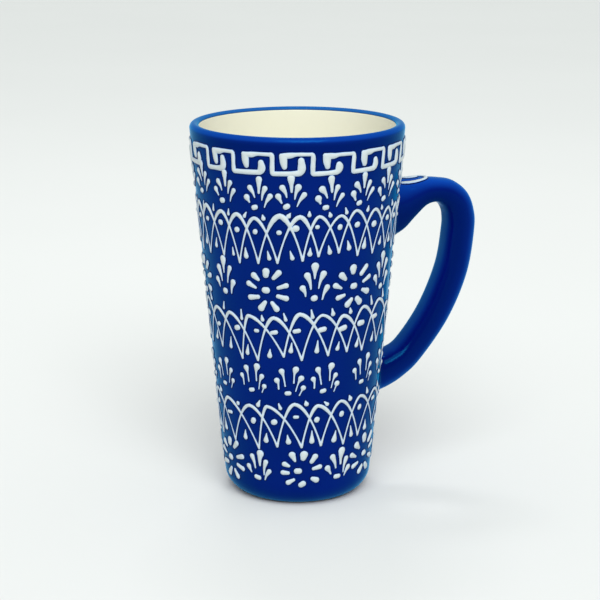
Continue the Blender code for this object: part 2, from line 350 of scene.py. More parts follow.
class SlipBand:
    """Raised slip on an unrolled surface, as a grid of heights above it.

    A place is given in the band's own units along it, and in mm across it. Each touch of the
    nozzle leaves a round drop that only ever raises the grid.
    """

    def __init__(self, unit, start, length, low, high, place, closed, seed):
        self.unit = unit
        self.start = start * unit
        self.columns = round(length * unit / CELL)
        self.step = length * unit / self.columns
        self.low = low * MM
        self.rows = math.ceil((high - low) * MM / CELL) + 1
        self.place = place
        self.closed = closed
        self.chance = random.Random(seed)
        self.depth = np.full((self.rows, self.columns), -1.0)
        self.lift = np.zeros((self.rows, self.columns))
        self.away = np.zeros((self.rows, self.columns, 2))

    def jitter(self, size):
        return self.chance.uniform(-size, size)

    def touch(self, along, up, radius):
        """One drop at a place in metres along the band and above its lower edge."""
        reach = radius + SKIRT + 2 * CELL
        bottom = max(math.floor((up - reach) / CELL), 0)
        top = min(math.ceil((up + reach) / CELL), self.rows - 1)
        left = math.floor((along - reach) / self.step)
        columns = np.arange(left, math.ceil((along + reach) / self.step) + 1)
        rows = np.arange(bottom, top + 1)
        right = (columns * self.step - along)[None, :]
        above = (rows * CELL - up)[:, None]
        distance = np.hypot(right, above) + 1e-9
        where = np.ix_(rows, columns % self.columns)
        dome = DOME_HEIGHT * min(radius / DOME_WIDTH, WIDEST_DOME) ** DOME_POWER
        dome = dome * np.clip(1 - (distance / radius) ** 2, 0.0, None) ** DOME_ROUNDNESS
        self.lift[where] = np.maximum(self.lift[where], dome)
        closer = radius - distance > self.depth[where]
        self.depth[where] = np.where(closer, radius - distance, self.depth[where])
        facing = np.stack(np.broadcast_arrays(right / distance, above / distance), axis=-1)
        self.away[where] = np.where(closer[..., None], facing, self.away[where])

    def trail(self, points, halves, covered=None):
        """A line of slip through places in band units and mm, with its half widths in mm."""
        curve = smoothed([(*point, half) for point, half in zip(points, halves)], 8)
        path = np.stack((curve[:, 0] * self.unit - self.start, curve[:, 1] * MM - self.low), axis=1)
        lengths = np.linalg.norm(np.diff(path, axis=0), axis=1)
        reached = np.concatenate(([0.0], np.cumsum(lengths)))
        count = max(math.ceil(reached[-1] / TOUCH_STEP), 1)
        for distance in np.linspace(0.0, reached[-1], count + 1):
            along, up, half = (np.interp(distance, reached, row) for row in (*path.T, curve[:, 2]))
            wander = noise.noise(Vector((along / MM, up / MM, 0.0)) * 0.45)
            place = ((along + self.start) / self.unit, (up + self.low) / MM)
            if not (covered and covered(*place)):
                self.touch(along, up, max(half * (1 + HAND_WANDER * wander), THINNEST_LINE) * MM)

    def heights(self):
        """How far the slip stands above the glaze, and how white it is, at each grid point."""
        lift = blurred(blurred(self.lift, self.closed), self.closed)
        climb = np.clip((self.depth + SKIRT) / SKIRT, 0.0, 1.0)
        white = np.clip((self.depth + EDGE_MARGIN) / WHITENING, 0.0, 1.0)
        return EDGE_LIFT + CLIMB * climb**2 + lift, white

    def piece(self, name, material):
        """The closed mesh of the grid's raised part, its outline drawn to where the skirt ends."""
        marked = self.depth > -SKIRT - CELL / 2
        squares = marked & np.roll(marked, -1, 1)
        squares[:-1] &= squares[1:].copy()
        squares[-1] = False
        if not self.closed:
            squares[:, -1] = False
        around = around_corners(without_pinches(squares))
        used = around > 0
        rows, columns = np.nonzero(used)
        lift, white = self.heights()
        shift = np.where(around < 4, np.clip(self.depth + SKIRT, -1.2 * CELL, 1.2 * CELL), 0.0)[used]
        along = (columns * self.step + self.away[used][:, 0] * shift + self.start) / self.unit
        up = rows * CELL + self.away[used][:, 1] * shift + self.low
        edge = (around < 4)[used]
        upper = self.place(along, up, np.where(edge, EDGE_LIFT, lift[used]))
        lower = self.place(along, up, np.full(len(rows), -SINK))
        number = np.full(used.shape, -1)
        number[used] = np.arange(len(rows))
        top, sides = grid_faces(squares, number, len(rows))
        made = quad_mesh(name, np.concatenate((upper, lower)), top, sides, material)
        layer = made.data.attributes.new("white", "FLOAT", "POINT")
        layer.data.foreach_set("value", np.concatenate((white[used], white[used])).astype(np.float32))
        return made


def around_corners(squares):
    """How many of the grid's squares meet at each of its points."""
    count = squares.astype(int)
    count = count + np.roll(count, 1, 1)
    below = np.zeros_like(count)
    below[1:] = count[:-1]
    return count + below


def grid_faces(squares, number, count):
    """Corner numbers of the upper faces, and of the lower ones with the walls between them."""
    right = np.roll(number, -1, 1)
    above = np.roll(number, -1, 0)
    beyond = np.roll(right, -1, 0)
    corners = np.stack((number, right, beyond, above), axis=-1)
    top = corners[squares]
    walls = []
    for start, end, axis, back in ((0, 1, 0, 1), (2, 3, 0, -1), (1, 2, 1, -1), (3, 0, 1, 1)):
        open_side = squares & ~np.roll(squares, back, axis)
        first = corners[..., start][open_side]
        second = corners[..., end][open_side]
        walls.append(np.stack((second, first, first + count, second + count), axis=-1))
    return top, np.concatenate((top[:, ::-1] + count, *walls))


def quad_mesh(name, points, smooth, flat, material):
    mesh = bpy.data.meshes.new(name)
    quads = np.concatenate((smooth, flat))
    mesh.vertices.add(len(points))
    mesh.vertices.foreach_set("co", points.astype(np.float32).ravel())
    mesh.loops.add(quads.size)
    mesh.loops.foreach_set("vertex_index", quads.astype(np.int32).ravel())
    mesh.polygons.add(len(quads))
    mesh.polygons.foreach_set("loop_start", np.arange(0, quads.size, 4, dtype=np.int32))
    mesh.polygons.foreach_set("use_smooth", np.arange(len(quads)) < len(smooth))
    mesh.update(calc_edges=True)
    mesh.materials.append(material)
    made = bpy.data.objects.new(name, mesh)
    bpy.context.scene.collection.objects.link(made)
    return made


def on_side(angle, height, lift):
    """Points on the cup's side, from arrays of degrees, metres and metres."""
    turn = np.radians(CAMERA_SIDE + angle)
    radius = side_radius(height) + ripple(turn, height) + lift / SLANT
    return np.stack((radius * np.cos(turn), radius * np.sin(turn), height), axis=-1)


def cup_band(low, high, seed):
    """An empty band all round the cup between two heights in mm."""
    unit = math.radians(1.0) * side_radius((low + high) / 2 * MM)
    return SlipBand(unit, 0.0, 360.0, low, high, on_side, True, seed)


def under_handle(angle, height):
    """Whether a place on the side is covered by one of the handle's roots."""
    aside = abs((angle - HANDLE_ANGLE + 180) % 360 - 180)
    return any(low < height < high and aside < half for low, high, half in HANDLE_ROOTS)


def beside(angle, height, right, up):
    """The angle and height of a place right and up, in mm, from another."""
    return angle + math.degrees(right * MM / side_radius(height * MM)), height + up


def wedge(band, start, end, head, tail, bow, neck):
    """A drop from a round head to its tail.

    The neck is a share of the way along, where it is moved aside by bow in mm, and how much of
    the head's extra width is left there.
    """
    share, fullness = neck
    place = (start[0] + (end[0] - start[0]) * share, start[1] + (end[1] - start[1]) * share)
    halves = [head, head * fullness + tail * (1 - fullness), tail]
    band.trail([start, beside(*place, bow, 0.0), end], halves, under_handle)


def oval(band, angle, height, half_length, half_width, tilt):
    """A dot drawn out along a tilt in degrees."""
    reach = max(half_length - half_width, 0.05)
    right = reach * math.cos(math.radians(tilt))
    up = reach * math.sin(math.radians(tilt))
    ends = [beside(angle, height, sign * right, sign * up) for sign in (-1, 1)]
    band.trail(ends, [half_width, half_width], under_handle)


# ---------------------------------------------------------------- the bands


# The key band's hooks on the near side: where each starts, turns down and ends, in degrees, and
# the heights of its top bar and of the end of its last upstroke, in mm.
KEY_HOOKS = (
    (-71.5, -54.0, -42.2, 146.4, 144.6),
    (-49.8, -34.9, -18.8, 146.2, 144.1),
    (-29.7, -12.9, 2.0, 146.2, 145.3),
    (-9.2, 8.0, 21.8, 146.4, 143.3),
    (13.0, 30.2, 44.7, 145.9, 143.7),
    (34.6, 50.9, 64.8, 146.2, 144.8),
    (54.6, 71.5, 85.5, 146.2, 144.4),
)
KEY_COUNT = 16

# A fan of drops over a dot: each drop's head and tail in mm right of and above the fan's own
# place, then their half widths. The last row is the dot: its place, half length and half width.
TOP_FAN = (
    ((0.0, 11.0), (0.1, 6.0), 1.5, 0.5),
    ((-3.4, 7.5), (-1.7, 3.9), 1.35, 0.3),
    ((2.6, 7.6), (1.2, 3.0), 1.25, 0.28),
    ((-5.1, 3.9), (-4.0, 1.6), 1.35, 0.4),
    ((4.5, 4.6), (2.1, 0.3), 1.15, 0.25),
    ((-2.0, 0.0), 1.6, 1.15, 15.0),
)
MIDDLE_FAN = (
    ((0.0, 13.0), (0.1, 7.8), 1.55, 0.3),
    ((-3.0, 9.2), (-1.5, 3.8), 1.35, 0.35),
    ((3.3, 9.8), (1.8, 3.9), 1.2, 0.28),
    ((-4.7, 4.4), (-3.3, 1.0), 1.3, 0.3),
    ((4.8, 4.3), (3.3, -0.5), 1.25, 0.3),
    ((0.0, 0.0), 1.5, 1.3, 10.0),
)
TAILED_FAN = (
    ((-2.2, 9.0), (-1.0, 3.1), 1.35, 0.33),
    ((2.9, 10.4), (2.4, 4.2), 1.5, 0.33),
    ((-4.2, 5.5), (-3.5, 1.6), 1.2, 0.38),
    ((4.9, 6.4), (3.2, 1.0), 1.25, 0.27),
    ((5.8, 2.3), (4.6, -0.8), 1.2, 0.28),
    ((0.0, 0.0), 1.6, 1.0, 0.0),
)
LOW_FAN = (
    ((1.7, 10.8), (1.5, 5.4), 1.6, 0.45),
    ((-2.3, 9.0), (-0.9, 4.0), 1.25, 0.38),
    ((-4.3, 4.3), (-3.0, 1.6), 1.3, 0.35),
    ((4.2, 7.2), (2.9, 1.6), 1.2, 0.3),
    ((5.3, 3.3), (3.4, -0.5), 1.15, 0.3),
    ((0.0, 0.0), 1.8, 1.05, 0.0),
)

TOP_FAN_WEIGHT = 0.88
FLOWER_BAND_WEIGHT = 0.92
TAILED_FAN_WEIGHT = 0.85
ARCH_WEIGHT = 0.82

# Necks of drops, as wedge takes them. A drop longer than BOWED_LENGTH, in mm, bows a little.
FULL_NECK = (0.5, 0.34)
LONG_NECK = (0.36, 0.12)
DROP_NECK = (0.5, 0.42)
BOWED_LENGTH = 3.5
BOW_SHARE = 0.1
MOST_BOW = 0.3

# Flowers: each petal's outer and inner end in mm from the middle, and their half widths.
FIRST_FLOWER = (
    ((0.4, 7.6), (0.2, 6.2), 1.55, 1.3),
    ((5.3, 7.4), (3.3, 5.1), 1.3, 0.85),
    ((8.1, 2.3), (5.0, 1.2), 1.15, 0.8),
    ((8.0, -3.0), (4.8, -2.2), 1.2, 0.85),
    ((4.2, -7.4), (2.4, -5.0), 1.3, 0.8),
    ((-2.2, -7.4), (-0.4, -5.0), 1.5, 0.85),
    ((-6.7, -3.5), (-3.3, -3.0), 1.2, 0.95),
    ((-7.1, 2.1), (-4.2, 0.7), 1.25, 0.5),
    ((-4.7, 5.6), (-2.9, 4.0), 1.45, 0.7),
)
SECOND_FLOWER = (
    ((-0.7, 7.4), (-0.6, 5.8), 1.7, 1.2),
    ((5.8, 7.2), (3.5, 4.6), 1.15, 1.15),
    ((7.8, 2.7), (4.9, 1.2), 1.1, 0.8),
    ((7.3, -3.2), (4.6, -2.2), 1.3, 0.75),
    ((3.5, -6.9), (2.1, -5.5), 1.5, 1.2),
    ((-2.5, -7.3), (-0.8, -5.4), 1.45, 0.95),
    ((-6.9, -4.1), (-4.2, -3.2), 1.15, 0.7),
    ((-8.2, 1.1), (-5.6, -0.2), 1.2, 0.5),
    ((-5.7, 5.0), (-3.9, 3.2), 1.45, 0.7),
)
THIRD_FLOWER = (
    ((-2.3, 7.1), (-1.1, 4.4), 1.4, 0.5),
    ((2.4, 7.2), (2.0, 5.5), 1.55, 1.2),
    ((6.8, 6.1), (5.4, 3.9), 1.3, 0.9),
    ((8.7, 1.5), (6.3, 0.8), 1.1, 0.85),
    ((7.5, -4.2), (5.9, -3.5), 1.3, 0.9),
    ((2.1, -5.5), (1.2, -6.1), 1.35, 1.2),
    ((-4.0, -5.1), (-1.8, -3.9), 1.1, 0.7),
    ((-6.0, -0.8), (-4.0, -0.9), 1.1, 0.85),
    ((-5.3, 2.9), (-3.6, 2.1), 1.25, 0.6),
)
FLOWERS = (FIRST_FLOWER, SECOND_FLOWER, THIRD_FLOWER)
FLOWER_MIDDLE = (1.65, 1.25)

# Where the near side's fans and flowers are: degrees, mm, and for a flower its design.
TOP_FANS = (
    (-62.0, 128.0),
    (-42.0, 126.3),
    (-20.6, 125.2),
    (-2.9, 126.1),
    (18.2, 125.5),
    (38.2, 126.1),
    (57.5, 126.0),
)
MIDDLE_FLOWERS = ((-78.0, 92.0, 2), (-18.8, 92.2, 0), (35.3, 92.7, 1), (95.0, 93.0, 0))
MIDDLE_FANS = ((-48.4, 89.3), (10.0, 89.3), (60.5, 89.7))
TAILED_FANS = (
    (-84.0, 49.0),
    (-58.5, 49.3),
    (-32.0, 49.8),
    (-6.2, 49.8),
    (17.3, 50.4),
    (48.3, 51.3),
    (75.0, 51.5),
)
LOW_FLOWERS = ((-60.5, 16.9, 0), (0.4, 16.3, 2), (59.5, 18.8, 1))
LOW_FANS = ((-90.0, 12.2), (-31.4, 12.0), (31.3, 12.4), (92.0, 12.2))

# Arches of an arcade on the near side. Each row is one arch: its crown (degrees, mm, half width),
# the tip below the crown (degrees, mm), its dot (degrees, mm, half length, half width, tilt), the
# drop above its crossing with the next arch and the one below it (where the head is, where the
# tail ends, and the head's half width).
UPPER_ARCHES = (
    (-61, 122.6, 1.05, (-61, 103.6), (-61, 117.2, 1.5, 1.2, 0),
     (-53.5, 121.6, -53.2, 123.8, 0.8), (-53.6, 107.2, -53.0, 110.4, 1.1)),
    (-46.5, 121.8, 0.95, (-47, 104.2), (-47.8, 117.2, 1.6, 1.35, 0),
     (-41, 121.2, -40.6, 123.2, 0.8), (-39.2, 105.3, -39.6, 108.0, 0.9)),
    (-35, 121.7, 0.95, (-35, 102.4), (-35.5, 115.5, 1.5, 1.3, 20),
     (-30, 121.3, -28.8, 122.8, 0.95), (-30.3, 105.3, -30.6, 108.6, 1.3)),
    (-24, 120.9, 0.85, (-22.7, 103), (-23.8, 115.5, 1.4, 1.25, 60),
     (-18.6, 121.0, -19.0, 122.3, 1.0), (-16.0, 105.2, -16.9, 108.1, 1.05)),
    (-9.5, 122.3, 1.25, (-11.3, 103.6), (-10, 115.7, 1.25, 1.1, 0),
     (-4.7, 122.3, -3.8, 123.4, 1.1), (-2.8, 105.6, -4.0, 108.4, 1.05)),
    (1.5, 122.0, 1.05, (3, 104.7), (-0.8, 117.5, 1.6, 1.45, 0),
     (6.5, 122.7, 6.5, 124.1, 0.95), (7.0, 107.2, 7.2, 109.6, 1.2)),
    (12, 122.0, 0.75, (12, 106.3), (11, 117.9, 1.2, 1.05, 0),
     (18.1, 122.2, 17.6, 123.4, 1.05), (18.5, 107.5, 17.6, 110.2, 1.15)),
    (24.5, 121.8, 0.65, (24, 107.2), (24, 117.3, 1.5, 1.3, 80),
     (27.7, 122.8, 26.9, 124.7, 0.95), (30.4, 108.5, 29.2, 111.5, 1.3)),
    (34, 123.2, 0.72, (36.5, 105.2), (35, 117.5, 1.6, 1.4, 15),
     (41.9, 122.7, 42.3, 124.2, 0.95), (40.9, 108.3, 41.5, 111.8, 1.4)),
    (48, 122.4, 0.75, (48.3, 104.9), (47.8, 116.6, 1.7, 1.5, 0),
     (54, 122.2, 53.6, 123.4, 1.0), (54.5, 108.2, 55.4, 110.8, 1.2)),
    (61, 121.7, 0.75, (61, 105.6), (61, 117.6, 1.6, 1.4, 0),
     (66.5, 122.3, 65.8, 124.0, 1.0), (65.5, 107.9, 65.9, 110.8, 1.2)),
)
UPPER_COUNT = 30

MIDDLE_ARCHES = (
    (-59.5, 81.2, 0.9, (-57, 65.2), (-59.2, 74.2, 1.7, 1.1, 20),
     (-51.6, 81.8, -51.0, 84.4, 0.8), (-47.6, 66.3, -47.0, 70.4, 1.1)),
    (-46, 80.7, 0.85, (-37.8, 62.6), (-40.5, 75.0, 1.9, 1.3, 20),
     (-36.3, 79.2, -36.4, 82.9, 0.8), (-33.6, 65.2, -32.8, 68.7, 1.15)),
    (-31.2, 80.9, 0.85, (-26, 62.8), (-26, 75.1, 1.4, 0.95, 0),
     (-21.6, 79.9, -22.1, 81.6, 0.95), (-17.8, 65.2, -17.4, 67.9, 1.3)),
    (-14.5, 81.0, 0.9, (-8.6, 65.2), (-14.6, 75.0, 2.0, 1.05, 12),
     (-7.0, 80.4, -8.2, 83.0, 0.8), (-4.1, 67.6, -3.5, 71.0, 1.1)),
    (1.5, 82.8, 0.95, (2.8, 63.9), (-0.4, 75.9, 2.0, 1.05, 10),
     (9.2, 81.5, 8.4, 84.5, 0.9), (12.3, 67.4, 12.8, 71.8, 1.15)),
    (15.3, 82.1, 0.68, (19.8, 65.3), (15.4, 76.2, 2.2, 1.2, 10),
     (22.1, 82.2, 21.4, 84.4, 1.05), (26.1, 67.6, 27.1, 70.4, 1.05)),
    (29.3, 81.0, 0.85, (33.2, 65.9), (29.0, 75.8, 2.5, 1.3, 15),
     (34.3, 82.1, 33.8, 83.7, 1.0), (40.8, 67.6, 42.0, 71.0, 1.15)),
    (44.8, 83.2, 0.75, (46, 65.1), (43.4, 76.6, 2.4, 1.4, 0),
     (52.3, 83.6, 50.9, 86.8, 0.95), (55.6, 68.0, 56.9, 71.2, 1.1)),
    (60.5, 84.2, 0.8, (62, 66.6), (56.6, 77.7, 2.4, 1.2, 5),
     (65.8, 84.8, 64.9, 87.8, 1.0), (70.0, 69.0, 70.6, 72.2, 1.2)),
)
MIDDLE_COUNT = 24

LOWER_ARCHES = (
    (-56.3, 43.4, 0.85, (-51.5, 25.9), (-55.5, 37.3, 2.2, 0.9, 8),
     (-45.4, 42.4, -44.4, 42.9, 1.05), (-40.3, 28.5, -40.0, 31.6, 1.3)),
    (-34.7, 42.8, 0.85, (-28.8, 24.9), (-32.3, 36.5, 1.7, 1.3, 65),
     (-27.8, 43.6, -26.3, 45.6, 1.1), (-22.8, 28.8, -22.3, 31.8, 1.3)),
    (-21.2, 43.5, 0.75, (-14.5, 26.7), (-16.3, 37.1, 1.7, 1.45, 30),
     (-11.6, 43.2, -12.7, 45.1, 0.9), (-6.3, 28.9, -7.0, 31.8, 1.25)),
    (-2.0, 45.1, 0.85, (3.0, 26.7), (-0.9, 39.7, 1.4, 0.8, 0),
     (6.1, 45.2, 5.5, 46.4, 1.1), (10.3, 29.1, 10.2, 33.6, 1.3)),
    (14.0, 44.2, 0.9, (17, 27.1), (13.5, 38.3, 1.5, 1.3, 70),
     (20.6, 44.5, 18.6, 45.6, 0.95), (27.0, 28.7, 28.1, 32.6, 1.45)),
    (31.0, 45.0, 0.75, (35, 26.3), (32.1, 39.4, 1.5, 1.25, 80),
     (38.8, 45.1, 37.8, 46.5, 1.2), (42.0, 29.3, 40.9, 33.2, 1.25)),
    (48.5, 45.1, 0.72, (48.8, 28.3), (48.5, 40.4, 1.5, 1.25, 60),
     (56.4, 45.7, 55.4, 47.6, 1.15), (57.0, 30.4, 57.2, 33.6, 1.4)),
    (67.5, 45.3, 0.75, (69, 30), (66.3, 41.6, 1.7, 1.1, 10),
     (74.5, 45.5, 73.8, 47.4, 1.1), (77.0, 30.5, 77.6, 33.8, 1.4)),
)
LOWER_COUNT = 21


def carried_round(shown, count, chance):
    """The designs of a band all the way round: copies of the near side's fill the rest.

    A design is a row whose first item is its angle. Returns pairs of a design and the angle
    that it is moved by.
    """
    hidden = count - len(shown)
    gap = (shown[0][0] + 360 - shown[-1][0]) / (hidden + 1)
    pairs = [(design, 0.0) for design in shown]
    for step in range(hidden):
        design = shown[(step * 3 + 1) % len(shown)]
        angle = shown[-1][0] + gap * (step + 1) + chance.uniform(-0.06, 0.06) * gap
        pairs.append((design, angle - design[0]))
    return pairs


def key_hook(band, start, down, end, top, finish):
    """From a hanging tongue along the top, down, along the bottom and up to a thick end."""
    band.trail([(start + 2.7, 141.5), (start + 2.3, 143.2), (start + 2.1, 145.2)], [1.0, 1.4, 1.5])
    points = [(start + 1.2, 145.9), (start + 5.5, top - 0.4), (start + 9.0, top), (down - 2.0, top)]
    halves = [0.85, 1.1, 0.75, 0.7]
    points += [(down - 0.4, top - 0.1), (down + 0.1, top - 1.2), (down, 142.0), (down, 139.9)]
    halves += [0.8, 0.88, 0.92, 0.92]
    points += [(down + 0.3, 138.9), (down + 2.5, 138.85), ((down + end) / 2, 138.95), (end - 2.2, 139.1)]
    halves += [0.88, 0.92, 0.92, 1.05]
    points += [(end - 0.4, 139.6), (end + 0.3, 141.0), (end, finish - 1.2)]
    halves += [1.25, 1.5, 1.1]
    band.trail(points, halves)


def key_band(material):
    band = cup_band(136.0, 149.0, 3)
    for design, moved in carried_round(KEY_HOOKS, KEY_COUNT, band.chance):
        start, down, end, top, finish = design
        key_hook(band, start + moved, down + moved, end + moved, top, finish)
    return band.piece("slip_key_band", material)


def fan(band, angle, height, shape, weight, neck):
    """Drops fanned out over a dot. Weight scales how thick they are."""
    for head, tail, head_half, tail_half in shape[:-1]:
        start = beside(angle, height, head[0] + band.jitter(0.25), head[1] + band.jitter(0.25))
        end = beside(angle, height, tail[0] + band.jitter(0.2), tail[1] + band.jitter(0.3))
        bow = max(min(-BOW_SHARE * head[0], MOST_BOW), -MOST_BOW)
        if math.dist(head, tail) <= BOWED_LENGTH:
            bow = 0.0
        thick = weight * head_half * (1 + band.jitter(0.08))
        wedge(band, start, end, thick, weight * tail_half, bow, neck)
    place, half_length, half_width, tilt = shape[-1]
    middle = beside(angle, height, *place)
    oval(band, *middle, weight * half_length, weight * half_width, tilt + band.jitter(15.0))


def flower(band, angle, height, petals, loose):
    """Petals round a dot. The far side's flowers are looser copies of the near side's."""
    for outer, inner, outer_half, inner_half in petals:
        start = beside(angle, height, outer[0] + band.jitter(loose), outer[1] + band.jitter(loose))
        end = beside(angle, height, inner[0] + band.jitter(loose), inner[1] + band.jitter(loose))
        halves = [FLOWER_BAND_WEIGHT * half for half in (outer_half, inner_half)]
        band.trail([start, end], halves, under_handle)
    oval(band, angle, height, *FLOWER_MIDDLE, 0.0)


def fan_band(name, low, high, seed, places, count, shape, weight, neck, material):
    band = cup_band(low, high, seed)
    for (angle, height), moved in carried_round(places, count, band.chance):
        fan(band, angle + moved, height, shape, weight, neck)
    return band.piece(name, material)


def flower_band(name, low, high, seed, flowers, fans, shape, material):
    """Flowers and fans in turn. A flower's row ends with the number of its design."""
    band = cup_band(low, high, seed)
    for (angle, height, design), moved in carried_round(flowers, 6, band.chance):
        flower(band, angle + moved, height, FLOWERS[design], 0.05 if moved == 0.0 else 0.3)
    for (angle, height), moved in carried_round(fans, 6, band.chance):
        fan(band, angle + moved, height, shape, FLOWER_BAND_WEIGHT, FULL_NECK)
    return band.piece(name, material)


def arch_side(crown, tip, steps=9):
    """From beside a crown down to a tip: rounded at first, then almost straight."""
    shares = [step / steps for step in range(1, steps + 1)]
    fall = crown[1] - tip[1]
    return [(crown[0] + (tip[0] - crown[0]) * share, crown[1] - fall * share**1.8) for share in shares]


def arch_halves(thick, steps=9):
    """Half widths from beside the crown, which is thick, to the tip, where a little pools."""
    shares = [step / steps for step in range(1, steps + 1)]
    thin = [0.42 + (thick - 0.42) * min(max((0.62 - share) / 0.4, 0.0), 1.0) for share in shares]
    return thin[:-1] + [0.6]


def arcade(name, low, high, seed, arches, count, material):
    """Interlaced arches. Each runs from the tip under one neighbour to the tip under the other."""
    band = cup_band(low, high, seed)
    placed = carried_round(arches, count, band.chance)
    tips = [(design[3][0] + moved, design[3][1]) for design, moved in placed]
    for index, (design, moved) in enumerate(placed):
        angle, height, half, _, dot, above, below = design
        crown = (angle + moved, height)
        for tip in (tips[index - 1], tips[(index + 1) % count]):
            near = (crown[0] + (tip[0] - crown[0] + 180) % 360 - 180, tip[1])
            halves = [ARCH_WEIGHT * width for width in [half] + arch_halves(half)]
            band.trail([crown] + arch_side(crown, near), halves, under_handle)
        oval(band, dot[0] + moved, dot[1], ARCH_WEIGHT * dot[2], ARCH_WEIGHT * dot[3], dot[4])
        for drop, tail_half in ((above, 0.28), (below, 0.2)):
            start, end = (drop[0] + moved, drop[1]), (drop[2] + moved, drop[3])
            wedge(band, start, end, ARCH_WEIGHT * drop[4], tail_half, 0.0, DROP_NECK)
    return band.piece(name, material)


# ---------------------------------------------------------------- materials


def principled(name, colour, roughness, ior):
    made = bpy.data.materials.new(name)
    made.use_nodes = True
    shader = made.node_tree.nodes["Principled BSDF"]
    shader.inputs["Base Color"].default_value = (*colour, 1.0)
    shader.inputs["Roughness"].default_value = roughness
    shader.inputs["IOR"].default_value = ior
    return made, made.node_tree.nodes, made.node_tree.links, shader


def add_noise(nodes, links, where, scale, detail):
    texture = nodes.new("ShaderNodeTexNoise")
    texture.inputs["Scale"].default_value = scale
    texture.inputs["Detail"].default_value = detail
    links.new(where, texture.inputs["Vector"])
    return texture.outputs["Fac"]


def ramp(nodes, links, value, stops):
    """A colour ramp. Each stop is a place and a colour."""
    made = nodes.new("ShaderNodeValToRGB")
    links.new(value, made.inputs["Fac"])
    entries = made.color_ramp.elements
    while len(entries) < len(stops):
        entries.new(0.5)
    for entry, (place, colour) in zip(entries, stops):
        entry.position = place
        entry.color = (*colour, 1.0)
    return made.outputs["Color"]


def mixed(nodes, links, share, first, second):
    made = nodes.new("ShaderNodeMix")
    made.data_type = "RGBA"
    links.new(share, made.inputs["Factor"])
    for socket, value in ((made.inputs["A"], first), (made.inputs["B"], second)):
        if isinstance(value, tuple):
            socket.default_value = (*value, 1.0)
        else:
            links.new(value, socket)
    return made.outputs["Result"]


def bump(nodes, links, shader, height, strength, distance):
    made = nodes.new("ShaderNodeBump")
    made.inputs["Strength"].default_value = strength
    made.inputs["Distance"].default_value = distance
    links.new(height, made.inputs["Height"])
    links.new(made.outputs["Normal"], shader.inputs["Normal"])


DEEP_COBALT = (0.0012, 0.0062, 0.15)
CLOUD_COBALT = (0.0008, 0.0042, 0.118)
# Lighter blues of the lip: partly glaze running thin over the rim, partly painted highlight.
LIP_COBALT_AND_HIGHLIGHT = (0.003, 0.036, 0.29)
THIN_COBALT_AND_HIGHLIGHT = (0.013, 0.092, 0.34)
# Handle blues: lighter where the glaze runs thin and as painted highlight, darker where it lies thick and as
# painted shade.
BROKEN_COBALT_AND_HIGHLIGHT = (0.003, 0.042, 0.34)
POOLED_COBALT_AND_SHADE = (0.0003, 0.0006, 0.085)
LIP_POOL = (0.0004, 0.002, 0.105)
# Darker than the cobalt: partly glaze pooled at the foot of the slip, partly painted contact shade.
EDGE_POOL_AND_SHADE = (0.0004, 0.002, 0.05)
MILKY_BLUE = (0.1, 0.26, 0.62)
PALE_BLUE = (0.5, 0.61, 0.76)
BLUE_SHEEN = (1.0, 24.0, 47.0, 1.0)


def between(nodes, links, value, start, end):
    """A share that grows smoothly from 0 at start to 1 at end."""
    made = nodes.new("ShaderNodeMapRange")
    made.interpolation_type = "SMOOTHSTEP"
    made.inputs["From Min"].default_value = start
    made.inputs["From Max"].default_value = end
    links.new(value, made.inputs["Value"])
    return made.outputs["Result"]


def product(nodes, links, first, second):
    made = nodes.new("ShaderNodeMath")
    made.operation = "MULTIPLY"
    links.new(first, made.inputs[0])
    links.new(second, made.inputs[1])
    return made.outputs["Value"]


def from_axis(nodes, links, place):
    """Distance from the cup's axis."""
    flat = nodes.new("ShaderNodeVectorMath")
    flat.operation = "MULTIPLY"
    flat.inputs[1].default_value = (1.0, 1.0, 0.0)
    links.new(place, flat.inputs[0])
    made = nodes.new("ShaderNodeVectorMath")
    made.operation = "LENGTH"
    links.new(flat.outputs["Vector"], made.inputs[0])
    return made.outputs["Value"]


